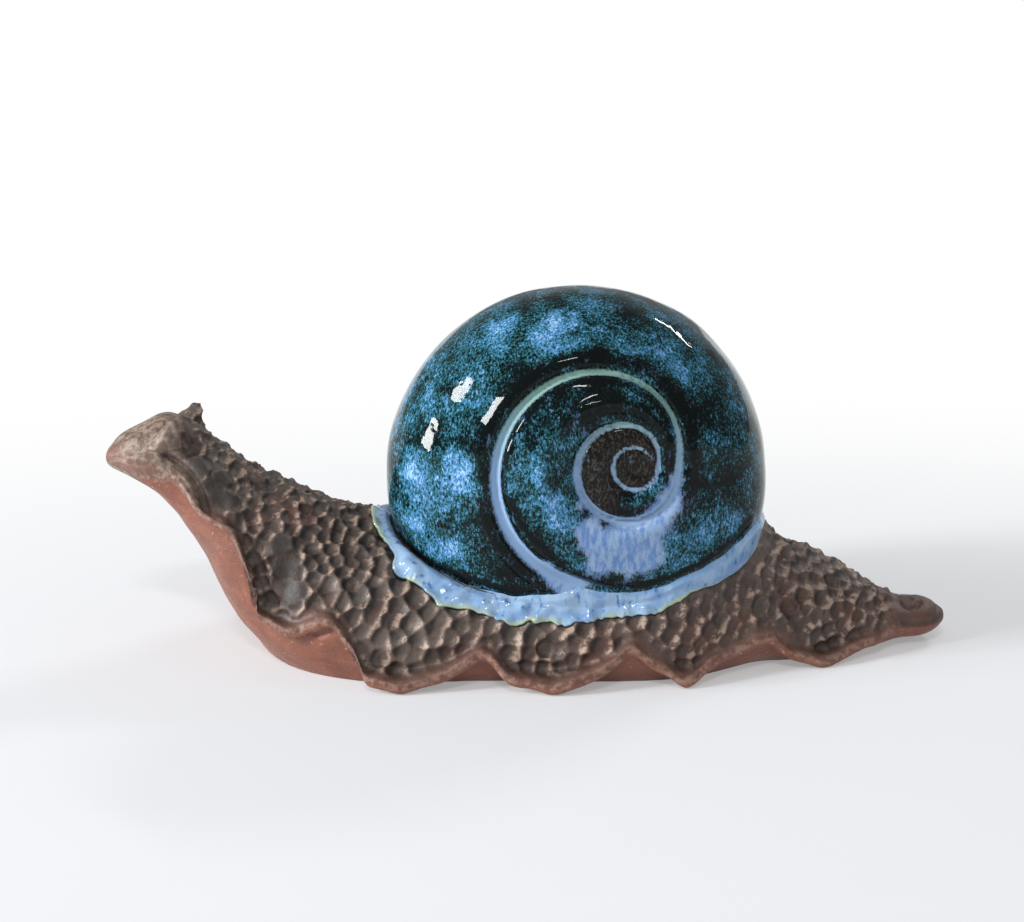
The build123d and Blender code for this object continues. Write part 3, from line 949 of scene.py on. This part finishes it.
def clay_material(name, settings, pressed):
    """Red stoneware. Where it is pressed, it is greyed by a dark oxide.

    Press walls facing the window light get a painted highlight, and those facing away a painted shade.
    """
    material, tree, surface = new_material(name, {"IOR": 1.45, "Specular IOR Level": 0.6})
    place = placed(tree)
    fine = grain(tree, place, 0.5 * MM, 4.0, 0.65)
    mid = grain(tree, place, 1.7 * MM, 3.0, 0.6)
    patch = grain(tree, place, 7 * MM, 3.0, 0.5)
    speck = grain(tree, place, 0.8 * MM, 2.0, 0.5)
    drag = grain(tree, placed(tree, (0.25, 1, 1)), 1.6 * MM, 3.0, 0.6)
    wash_and_shade = settings.wash_and_shade_colour
    warm = tuple(part * 1.4 for part in settings.foot_colour)
    dull = tuple(part * 0.92 for part in settings.foot_colour)
    foot = blend(tree, step(tree, patch, 0.35, 0.7), settings.foot_colour, warm)
    foot = blend(tree, step(tree, drag, 0.40, 0.75), foot, dull)
    foot = blend(tree, step(tree, speck, 0.68, 0.74), foot, speck_colour)
    edge = blend(tree, step(tree, mid, 0.40, 0.62), lip_dark_colour, lip_pale_colour)
    if pressed:
        clay = blend(tree, value_of(tree, "tint"), settings.press_colour, pale_press_colour)
        clay = blend(tree, step(tree, mid, 0.42, 0.62), clay, dull_press_colour)
        clay = blend(tree, share_of(tree, "light", 0.55), clay, light_clay_colour)
        redness = sums(tree, "MULTIPLY", value_of(tree, "red"), step(tree, patch, 0.20, 0.50))
        clay = blend(tree, redness, clay, settings.ridge_colour)
        clay = blend(tree, share_of(tree, "hollow", 0.25), clay, wash_and_shade)
        # Painted shade on the presses' walls facing away from the window light
        clay = blend(tree, share_of(tree, "painted_shade", 0.95), clay, wash_and_shade)
        clay = blend(tree, share_of(tree, "ridge", 0.35), clay, settings.ridge_colour)
        # Painted highlight on the presses' walls facing the window light
        lit_walls = sums(tree, "MULTIPLY", value_of(tree, "painted_highlight"), step(tree, mid, 0.40, 0.56))
        clay = blend(tree, lit_walls, clay, settings.painted_highlight_colour)
        clay = blend(tree, share_of(tree, "soot", 0.8), clay, wash_and_shade)
        mottled = blend(tree, step(tree, mid, 0.40, 0.64), face_dark_colour, face_pale_colour)
        clay = blend(tree, value_of(tree, "face"), clay, mottled)
        clay = blend(tree, share_of(tree, "snout", 0.9), clay, snout_colour)
        clay = blend(tree, share_of(tree, "raised", 0.45), clay, raised_colour)
        clay = blend(tree, share_of(tree, "pressed", 0.85), clay, pressed_colour)
        clay = blend(tree, share_of(tree, "lip", 0.85), clay, edge)
        colour = blend(tree, value_of(tree, "foot"), clay, foot)
    else:
        colour = blend(tree, share_of(tree, "lip", 0.8), foot, edge)
    tree.links.new(colour, surface.inputs["Base Color"])
    tree.links.new(sums(tree, "MULTIPLY_ADD", fine, 0.35, 0.24), surface.inputs["Roughness"])
    bump(tree, surface, sums(tree, "MULTIPLY_ADD", mid, 0.8, fine), 0.16 * MM)
    return material


class SNAIL_OT_shell(bpy.types.Operator):
    """Model the glazed shell with its carved spirals"""

    bl_idname = "snail.shell"
    bl_label = "Glazed shell"

    def execute(self, context):
        settings = context.scene.snail_glaze
        deselect()
        bpy.ops.mesh.primitive_cube_add(size=2)
        shell = bpy.context.object
        shell.name = "glazed_shell"
        bpy.ops.object.mode_set(mode="EDIT")
        bpy.ops.mesh.select_all(action="SELECT")
        bpy.ops.mesh.subdivide(number_cuts=settings.shell_cuts)
        bpy.ops.object.mode_set(mode="OBJECT")
        set_points(shell.data, self.blown_out(points_of(shell.data)))
        bpy.ops.object.mode_set(mode="EDIT")
        bpy.ops.mesh.select_all(action="SELECT")
        bpy.ops.mesh.bisect(
            plane_co=(0, 0, shell_cut_height), plane_no=(0, 0, 1), clear_inner=True, use_fill=True
        )
        bpy.ops.object.mode_set(mode="OBJECT")
        self.carve(shell, settings)
        finish_piece(shell, shell_material(settings), shell_nodes)
        return {"FINISHED"}

    def blown_out(self, cube):
        """The points of a cube, each moved out from the middle until it reaches the shell's smooth form."""
        # The tangent evens out the squares of the cube, and halving finds where each ray leaves the form
        rays = np.tan(cube * math.pi / 4)
        rays /= np.linalg.norm(rays, axis=1)[:, None]
        rays *= (shell_half_length, shell_half_width, shell_half_height)
        near, far = np.zeros(len(rays)), np.full(len(rays), 1.6)
        for _ in range(30):
            middle = (near + far) / 2
            x, y, z = (rays * middle[:, None]).T
            within = inside_shell(x + shell_x, y, z + shell_z) < 0
            near, far = np.where(within, middle, near), np.where(within, far, middle)
        return rays * near[:, None] + (shell_x, 0, shell_z)

    def carve(self, shell, settings):
        """Raises the coils, cuts the grooves and marks where the glaze is thick and thin."""
        mesh = shell.data
        points, normals = points_of(mesh), normals_of(mesh)
        x, y, z = points.T
        face = smooth(0.25, 0.6, np.abs(y) / shell_half_width)
        angle, outer, inner = spiral_place(x, z)
        reach = outer + inner
        share = inner / reach
        coil = smooth(330, 200, angle) * face
        outer_groove = self.groove_at(angle, outer)
        inner_groove = self.groove_at(angle - 360, inner)
        groove = np.maximum(outer_groove, inner_groove)
        depth = settings.groove_depth * np.clip(reach / (18 * MM), 0.35, 1)
        # A coil is rounded across, with two low ledges along part of it
        crest = (1 - np.abs(2 * share - 1) ** 2.8) ** 0.6 * (0.8 + 0.25 * bell(share - 0.42, 0.13))
        rise = 0.28 * reach / 2 * crest * coil
        ledge = coil * smooth(-100, -40, angle) * smooth(225, 190, angle)
        rise += ledge * (0.30 * MM * bell(share - 0.44, 0.07) + 0.25 * MM * bell(share - 0.15, 0.05))
        outside = smooth(spiral_start - 20, spiral_start + 20, angle)
        shoulder = bell(inner - 3.4 * MM, 2.2 * MM) * self.spiral_share(angle - 360) * outside * face
        lumps = uneven_by_hand(points, shell_waves)
        lumps = lumps - 0.45 * MM * smooth(60 * MM, 90 * MM, z)
        tree = tree_of(shell)
        lines = [self.distance_to_line(tree, line, x, z) for line in dark_line_px]
        lips = bell(np.min(lines, axis=0), 0.9 * MM)
        lift = rise - groove * depth * face + shoulder * 0.7 * MM + lips * 0.3 * MM + lumps
        set_points(mesh, points + normals * lift[:, None])
        self.mark(mesh, points, tree, groove * face, shoulder, lips, angle, outer, share, coil)

    def spiral_share(self, angle):
        """1 along the spiral, and 0 before it starts and after it ends."""
        started = smooth(spiral_start + 20, spiral_start - 6, angle)
        return started * smooth(spiral_end, spiral_end + 60, angle)

    def groove_at(self, angle, distance):
        """How deep in the groove a point lies, from its angle and its distance from the groove's middle."""
        width = np.interp(angle, groove_width_angles, groove_width_mm) * MM
        return bell(distance, width) * self.spiral_share(angle)

    def distance_to_line(self, tree, line, x, z):
        """Distance of each point from a line in the photograph, alike on both faces of the shell."""
        places = [place for place in (seen(tree, px, py) for px, py in line) if place is not None]
        nearest = np.full(len(x), 1.0)
        for first, last in zip(places, places[1:]):
            dx, dz = last.x - first.x, last.z - first.z
            part = np.clip(((x - first.x) * dx + (z - first.z) * dz) / (dx * dx + dz * dz), 0, 1)
            nearest = np.minimum(nearest, np.hypot(x - first.x - part * dx, z - first.z - part * dz))
        return nearest

    def mark(self, mesh, points, tree, groove, shoulder, lips, angle, outer, share, coil):
        """Marks the grooves, the dark disk, where the glaze is thin, thick or pooled, and a painted
        reflection.
        """
        x, _, z = points.T
        lip = bell(outer - 2.2 * MM, 1.0 * MM) * coil * smooth(-200, -100, angle)
        disk = smooth(-90, -150, angle) * coil
        crest = bell(share - 0.40, 0.22) * coil * smooth(-60, 20, angle) * smooth(175, 135, angle)
        thin = shoulder + lip * 0.8 + lips * 1.3 + disk * 0.9 + crest * 0.9
        clouds_and_reflections, pools = np.zeros(len(points)), np.zeros(len(points))
        for marks, total in ((blue_clouds_and_reflections_px, clouds_and_reflections), (pool_px, pools)):
            for px, py, radius, strength in marks:
                place = seen(tree, px, py)
                if place is not None:
                    total += strength * bell(np.hypot(x - place.x, z - place.z), real_size(radius))
        set_value(mesh, "groove", np.clip(groove * 1.25, 0, 1))
        set_value(mesh, "thin", np.clip(thin, 0, 1.2))
        set_value(mesh, "cloud_and_reflection", np.clip(clouds_and_reflections, -0.8, 1.1))
        set_value(mesh, "pool", np.clip(pools, 0, 1.2) * (1 - 0.9 * disk))
        set_value(mesh, "inner", disk)


def shell_material(settings):
    """Glossy glaze, from almost black where it is thin to milky blue where it is thick, with pale grooves."""
    shader = {"Roughness": 0.05, "IOR": 1.5, "Specular IOR Level": 0.16}
    material, tree, surface = new_material("shell_glaze", shader)
    place = placed(tree)
    dash = grain(tree, placed(tree, (1, 1, 0.55)), 0.50 * MM, 1.5, 0.6, 0.5)
    fine = grain(tree, place, 0.32 * MM, 1.0, 0.5)
    tone = grain(tree, place, 9 * MM, 3.0, 0.55)
    streak = grain(tree, placed(tree, (1, 1, 0.3)), 1.3 * MM, 3.0, 0.6)
    patch = grain(tree, place, 3.5 * MM, 2.0, 0.5)
    thin, cloud_and_reflection = value_of(tree, "thin"), value_of(tree, "cloud_and_reflection")
    groove, pool = value_of(tree, "groove"), value_of(tree, "pool")
    depth = sums(tree, "MULTIPLY_ADD", tone, 0.95, -0.045)
    # These marks also carry a painted reflection of the window
    depth = sums(tree, "MULTIPLY_ADD", cloud_and_reflection, 0.30, depth)
    depth = stirred(tree, depth, patch, 0.5)
    depth = sums(tree, "MULTIPLY_ADD", thin, -0.34, depth)
    depth = stirred(tree, depth, dash, 1.25)
    depth = stirred(tree, depth, fine, 0.5)
    stops = (
        (0.22, settings.thin_colour), (0.38, dark_fleck_colour), (0.54, settings.teal_colour),
        (0.76, settings.blue_colour), (1.0, pale_fleck_colour),
    )
    flecks = ramp(tree, depth, stops)
    disk = blend(tree, step(tree, dash, 0.46, 0.66), disk_dark_colour, disk_brown_colour)
    glaze = blend(tree, step(tree, value_of(tree, "inner"), 0.3, 0.9), flecks, disk)
    pale = blend(tree, step(tree, streak, 0.42, 0.62), settings.pool_colour, pool_streak_colour)
    pitted = blend(tree, step(tree, fine, 0.70, 0.76), pale, pit_colour)
    height = add_node(tree, "ShaderNodeSeparateXYZ", {"Vector": placed(tree)}).outputs["Z"]
    in_groove = blend(tree, step(tree, height, 0.050, 0.074), groove_blue_colour, groove_green_colour)
    milk = stirred(tree, pool, streak, 0.9)
    milk = stirred(tree, milk, dash, 0.6)
    milk = stirred(tree, milk, patch, 0.9)
    pooled = blend(tree, step(tree, milk, 0.12, 0.70), glaze, pitted)
    lined = stirred(tree, groove, dash, 0.45)
    colour = blend(tree, step(tree, lined, 0.35, 0.85), pooled, in_groove)
    tree.links.new(colour, surface.inputs["Base Color"])
    bump(tree, surface, grain(tree, place, 5 * MM, 2.0), 0.25 * MM, 0.6)
    return material


class SNAIL_OT_collar(bpy.types.Operator):
    """Model the pooled glaze that runs from the shell onto the back"""

    bl_idname = "snail.collar"
    bl_label = "Glaze collar"

    def execute(self, context):
        settings = context.scene.snail_glaze
        self.clay = tree_of(bpy.data.objects["clay_back"])
        self.shell = tree_of(bpy.data.objects["glazed_shell"])
        self.centre_x = shell_x + 2 * MM
        edge_turns, edge_reaches = self.reaches_from_photo(self.clay, collar_edge_px, collar_edge_behind)
        top_turns, top_reaches = self.reaches_from_photo(self.shell, collar_top_px, collar_top_behind)
        rows, lows, highs = [], [], []
        # One profile for each direction, from the shell out along the back, gives one row of the glaze's band
        for turn in np.linspace(0, 2 * np.pi, collar_around, endpoint=False):
            profile, crease = self.profile(turn)
            # The photograph shows the half beyond pi. The far side has its edges, a little shifted
            mirrored = turn if turn > np.pi else 2 * np.pi - turn + 0.35 * math.sin(turn)
            uneven = self.drips(mirrored if turn > np.pi else mirrored + 9)
            low = np.interp(mirrored, edge_turns, edge_reaches) + uneven
            high = np.interp(mirrored, top_turns, top_reaches)
            lengths = lengths_along(profile)
            lengths -= lengths[crease]
            spots = np.linspace(high, max(low, 0.8 * MM), collar_across)
            rows.append(points_at(profile, lengths, spots))
            lows.append(spots[-1] - spots)
            highs.append(spots - high)
        grid = np.array(rows)
        shifts, weights = softening(3)
        grid = sum(np.roll(grid, shift, axis=0) * weight for shift, weight in zip(shifts, weights))
        self.build(grid / weights.sum(), np.array(lows), np.array(highs), settings)
        return {"FINISHED"}

    def drips(self, turn):
        """Small drips along the lower edge of the glaze."""
        waves = sum(math.sin(turn * rate + shift) * size for rate, shift, size in drip_waves)
        return (0.65 * abs(waves) - 0.5) * MM

    def profile(self, turn):
        """Points down the shell and out along the back in one direction, with the place of the crease."""
        across = Vector((math.cos(turn), math.sin(turn), 0))
        middle = Vector((self.centre_x, 0, 0))
        ray_spacing = 0.25 * MM
        body = []
        for reach in np.arange(*profile_reach, ray_spacing):
            hit = self.clay.ray_cast(middle + across * reach + Vector((0, 0, 0.2)), Vector((0, 0, -1)))[0]
            if hit is None:
                break
            body.append(tuple(hit))
        body = np.array(body)
        outside = inside_shell(body[:, 0], body[:, 1], body[:, 2]) > 0
        first = len(outside) - np.argmax(~outside[::-1]) if not outside.all() else 0
        crossing = body[min(first, len(body) - 1)]
        path = []
        for height in np.arange(crossing[2] + profile_rise, crossing[2], -ray_spacing):
            hit = self.shell.ray_cast(middle + across * 0.08 + Vector((0, 0, height)), -across)[0]
            if hit is not None:
                path.append(tuple(hit))
        count = len(path)
        path = np.vstack((path, body[first:]))
        lengths = lengths_along(path)
        dense = points_at(path, lengths, np.arange(0, lengths[-1], profile_spacing))
        crease = int(lengths[count] / profile_spacing)
        shifts, weights = softening(11)
        weights /= weights.sum()
        padded = np.pad(dense, ((shifts[-1], shifts[-1]), (0, 0)), mode="edge")
        rounded = np.column_stack([np.convolve(padded[:, axis], weights, mode="valid") for axis in range(3)])
        return rounded, min(crease, len(rounded) - 1)

    def reaches_from_photo(self, tree, line, tail_end):
        """How far a line in the photograph runs from the crease, in each direction, and at the tail's end."""
        turns, reaches = [], []
        for px, py in line:
            point = seen(tree, px, py)
            if point is None:
                continue
            turn = math.atan2(point.y, point.x - self.centre_x) % (2 * math.pi)
            profile, crease = self.profile(turn)
            nearest = np.argmin(np.linalg.norm(profile - np.array(point), axis=1))
            turns.append(turn)
            reaches.append((nearest - crease) * profile_spacing)
        order = np.argsort(turns)
        return np.append(np.array(turns)[order], 2 * np.pi), np.append(np.array(reaches)[order], tail_end)

    def build(self, grid, lows, highs, settings):
        """A closed band: its outer face stands off the surface and its inner face lies inside the clay."""
        around, across, _ = grid.shape
        along = np.roll(grid, -1, axis=0) - np.roll(grid, 1, axis=0)
        down = np.gradient(grid, axis=1)
        normals = np.cross(down, along)
        normals /= np.linalg.norm(normals, axis=2)[:, :, None]
        outwards = grid - np.array((shell_x, 0, shell_z - 20 * MM))
        if (normals * outwards).sum() < 0:
            normals = -normals
        ripple = wobble(grid.reshape(-1, 3), 5 * MM, 8).reshape(around, across) * 0.1 * MM
        roll = np.sqrt(np.clip(1 - smooth(1.0 * MM, 0, lows) ** 2, 0, 1))
        raised = smooth(0, 2.2 * MM, highs)
        thickness = (settings.collar_thickness + ripple) * raised * roll - 0.5 * MM * (1 - roll)
        thickness -= 0.3 * MM * smooth(0.7 * MM, 0, highs)
        outer = grid + normals * thickness[:, :, None]
        inner = grid - normals * 1.7 * MM
        back = inner[:, [across - 1, across // 2, 0]]
        ring = np.concatenate((outer, back), axis=1)
        count = ring.shape[1]
        faces = []
        for i in range(around):
            j = (i + 1) % around
            for k in range(count):
                m = (k + 1) % count
                faces.append((i * count + k, j * count + k, j * count + m, i * count + m))
        mesh = bpy.data.meshes.new("glaze_collar")
        mesh.from_pydata([tuple(p) for p in ring.reshape(-1, 3)], [], faces)
        collar = bpy.data.objects.new("glaze_collar", mesh)
        bpy.context.collection.objects.link(collar)
        make_active(collar)
        bpy.ops.object.mode_set(mode="EDIT")
        bpy.ops.mesh.select_all(action="SELECT")
        bpy.ops.mesh.normals_make_consistent(inside=False)
        bpy.ops.object.mode_set(mode="OBJECT")
        closed = np.concatenate((lows, lows[:, [across - 1, across // 2, 0]]), axis=1)
        set_value(mesh, "edge", closed.ravel() / MM)
        finish_piece(collar, collar_material(settings), ("collar_coil",))


def collar_material(settings):
    """Milky pooled glaze with bluer streaks, a yellow-green fringe and a dark outline that is partly painted
    shade.
    """
    shader = {"Roughness": 0.09, "IOR": 1.5, "Specular IOR Level": 0.4}
    material, tree, surface = new_material("pooled_glaze", shader)
    edge = value_of(tree, "edge")
    place = placed(tree)
    fine = grain(tree, place, 1.2 * MM, 3.0, 0.6)
    streak = grain(tree, placed(tree, (1, 1, 0.35)), 1.5 * MM, 3.0, 0.6)
    broad = grain(tree, place, 5 * MM, 2.0)
    patch = grain(tree, place, 9 * MM, 1.0)
    milk = blend(tree, step(tree, broad, 0.38, 0.62), milk_colour, bluer_milk_colour)
    streaked = blend(tree, step(tree, streak, 0.54, 0.72), milk, milk_streak_colour)
    rough_edge = sums(tree, "MULTIPLY_ADD", fine, 2.2, edge)
    fringed = sums(tree, "MULTIPLY", step(tree, rough_edge, 3.3, 1.7), step(tree, patch, 0.35, 0.6))
    fringe = blend(tree, fringed, streaked, settings.fringe_colour)
    # Along the lower edge: the glaze's own dark edge, and painted shade of the gap under it
    outline = blend(tree, step(tree, edge, 0.62, 0.25), fringe, outline_and_shade_colour)
    tree.links.new(outline, surface.inputs["Base Color"])
    bump(tree, surface, fine, 0.08 * MM, 0.5)
    return material


class SNAIL_OT_stage(bpy.types.Operator):
    """Set the floor, the lights and the camera"""

    bl_idname = "snail.stage"
    bl_label = "Stage"

    def execute(self, context):
        settings = context.scene.snail_stage
        self.set_floor(settings)
        self.set_lights(settings)
        self.set_camera()
        bpy.context.scene.view_settings.view_transform = "Standard"
        return {"FINISHED"}

    def set_floor(self, settings):
        """A pale floor, which is white far from the snail and keeps its shadow near it."""
        deselect()
        bpy.ops.mesh.primitive_plane_add(size=floor_size, location=(0, 0, 0))
        floor = bpy.context.object
        floor.name = "floor"
        material, tree, surface = new_material("floor", {"Roughness": 0.9})
        pale = tuple(settings.floor_colour)
        uneven = grain(tree, placed(tree), 0.02, 3.0)
        colour = blend(tree, uneven, pale, tuple(part * 0.985 for part in pale))
        tree.links.new(colour, surface.inputs["Base Color"])
        place = add_node(tree, "ShaderNodeTexCoord", {}).outputs["Object"]
        shape = {"Vector": place, "Location": oval_shift, "Scale": oval_stretch}
        oval = add_node(tree, "ShaderNodeMapping", shape).outputs[0]
        away = add_node(tree, "ShaderNodeVectorMath", {0: oval}, operation="LENGTH").outputs["Value"]
        rays = add_node(tree, "ShaderNodeLightPath", {}).outputs
        passed_on = sums(tree, "ADD", rays["Is Glossy Ray"], rays["Is Transmission Ray"])
        seen_rays = sums(tree, "ADD", rays["Is Camera Ray"], passed_on)
        white = add_node(tree, "ShaderNodeEmission", {"Color": (1, 1, 1, 1), "Strength": 1.0})
        glow = settings.floor_glow
        spread = sums(tree, "MULTIPLY_ADD", step(tree, away, *oval_reach), 1 - glow, glow)
        factor = sums(tree, "MULTIPLY", seen_rays, spread)
        mixed = add_node(tree, "ShaderNodeMixShader", {0: factor, 1: surface.outputs[0], 2: white.outputs[0]})
        output = next(node for node in tree.nodes if node.type == "OUTPUT_MATERIAL")
        tree.links.new(mixed.outputs[0], output.inputs["Surface"])
        floor.data.materials.append(material)
        deselect()

    def set_lights(self, settings):
        """Window panes low on the left, and two thin strips above: behind on the right, and in front."""
        for name, turn, rise, width, height, strength in (
            ("window_upper", -71, 27, 0.26, 0.36, settings.window_strength),
            ("window_lower", -80, 8, 0.34, 0.22, settings.window_strength),
            ("strip_right", 137, 37, 0.46, 0.05, settings.upper_strength),
            ("strip_front", -6, 51, 0.34, 0.07, settings.upper_strength),
        ):
            turn, rise = math.radians(turn), math.radians(rise)
            level = math.cos(rise)
            towards = Vector((math.sin(turn) * level, -math.cos(turn) * level, math.sin(rise)))
            lamp = bpy.data.lights.new(name, "AREA")
            lamp.shape = "RECTANGLE"
            lamp.size, lamp.size_y, lamp.energy = width, height, strength * width * height
            light = bpy.data.objects.new(name, lamp)
            light.location = towards * lamp_distance + Vector((0, 0, aim_height))
            light.rotation_euler = (-towards).to_track_quat("-Z", "Y").to_euler()
            bpy.context.collection.objects.link(light)
        world = bpy.data.worlds.new("room")
        bpy.context.scene.world = world
        world.use_nodes = True
        tree = world.node_tree
        tree.nodes.clear()
        white = {"Color": (1, 1, 1, 1), "Strength": settings.sky_strength}
        room = add_node(tree, "ShaderNodeBackground", white)
        add_node(tree, "ShaderNodeOutputWorld", {"Surface": room.outputs[0]})

    def set_camera(self):
        """The photograph's view. The lens gives its scale, and the shift its place in the image."""
        place, forward, _, _ = camera_axes()
        data = bpy.data.cameras.new("camera")
        camera = bpy.data.objects.new("camera", data)
        camera.location = place
        camera.rotation_euler = forward.to_track_quat("-Z", "Y").to_euler()
        data.sensor_width = camera_sensor
        data.lens = camera_sensor * px_per_mm / MM * camera_distance / image_width
        centre = aim_px()
        data.shift_x = (image_width / 2 - centre[0]) / image_width
        data.shift_y = (centre[1] - image_height / 2) / image_width
        bpy.context.collection.objects.link(camera)
        bpy.context.scene.camera = camera


class SNAIL_PT_panel(bpy.types.Panel):
    """The snail's pieces, in the order in which they are made"""

    bl_idname = "SNAIL_PT_panel"
    bl_label = "Ceramic snail"
    bl_space_type = "VIEW_3D"
    bl_region_type = "UI"
    bl_category = "Snail"

    def draw(self, context):
        for operator in operators:
            self.layout.operator(operator.bl_idname)


operators = (SNAIL_OT_stage, SNAIL_OT_clay, SNAIL_OT_shell, SNAIL_OT_collar)
classes = (SnailClay, SnailGlaze, SnailStage, *operators, SNAIL_PT_panel)


def register():
    for cls in classes:
        bpy.utils.register_class(cls)
    bpy.types.Scene.snail_clay = PointerProperty(type=SnailClay)
    bpy.types.Scene.snail_glaze = PointerProperty(type=SnailGlaze)
    bpy.types.Scene.snail_stage = PointerProperty(type=SnailStage)


def unregister():
    del bpy.types.Scene.snail_clay
    del bpy.types.Scene.snail_glaze
    del bpy.types.Scene.snail_stage
    for cls in reversed(classes):
        bpy.utils.unregister_class(cls)


def main():
    register()
    bpy.ops.snail.stage()
    bpy.ops.snail.clay()
    bpy.ops.snail.shell()
    bpy.ops.snail.collar()


if __name__ == "__main__":
    main()
